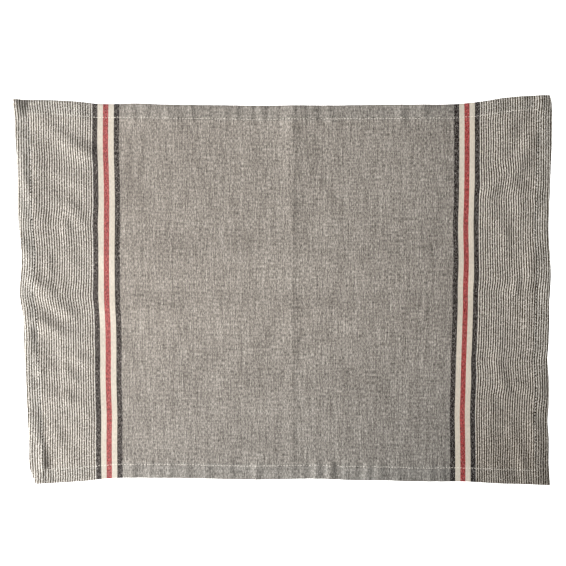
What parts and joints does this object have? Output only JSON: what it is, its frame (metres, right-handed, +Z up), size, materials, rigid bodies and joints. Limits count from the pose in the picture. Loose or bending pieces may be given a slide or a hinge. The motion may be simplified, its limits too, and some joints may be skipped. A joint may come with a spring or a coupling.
{
  "type": "fabric placemat",
  "caption": "Rectangular woven table mat with hemmed edges, fine striped ends, a contrast stripe band inside each end and soft creases, lying flat.",
  "frame": {"origin": "on the table surface under the middle of the mat", "axes": "+X along the mat's long side, +Y along its short side away from the diner, +Z up out of the face"},
  "size_m": [0.5014, 0.3632, 0.0074],
  "materials": {
    "cloth": "matt plain weave in grey-beige, with charcoal, ecru and red warp stripes",
    "thread": "matt ecru sewing thread"
  },
  "bodies": {
    "root": {"mat_cloth": "cloth"}
  },
  "joints": []
}
